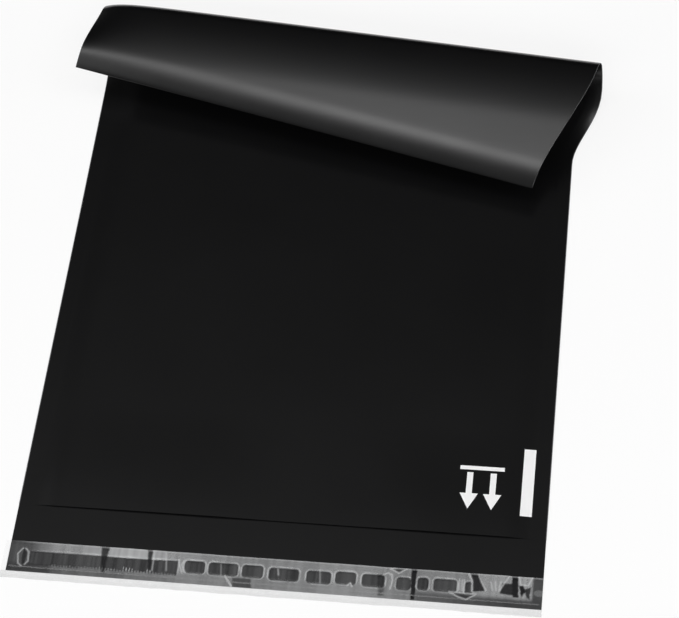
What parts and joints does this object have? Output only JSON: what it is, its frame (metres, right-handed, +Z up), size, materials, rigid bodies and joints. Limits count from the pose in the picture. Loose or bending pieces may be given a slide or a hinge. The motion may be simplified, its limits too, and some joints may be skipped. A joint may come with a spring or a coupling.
{
  "type": "poly mailer bag",
  "caption": "Flat film shipping bag with welded sides, a sealing flap with a lined glue strip, and its closed end curled over.",
  "frame": {"origin": "on the bag's flat underside, under the middle of the mouth's edge", "axes": "+Y from the mouth to the bottom fold, +X to the right across the bag, +Z up out of the surface it lies on"},
  "size_m": [0.2508, 0.2906, 0.0281],
  "materials": {
    "black_film": "satin black polyethylene film with soft sheen",
    "glue": "glossy dark hot-melt glue",
    "clear_liner": "clear glossy release film, slightly puckered"
  },
  "bodies": {
    "root": {"mailer_bag": "black_film", "adhesive_strip": "glue", "release_liner": "clear_liner"}
  },
  "joints": []
}
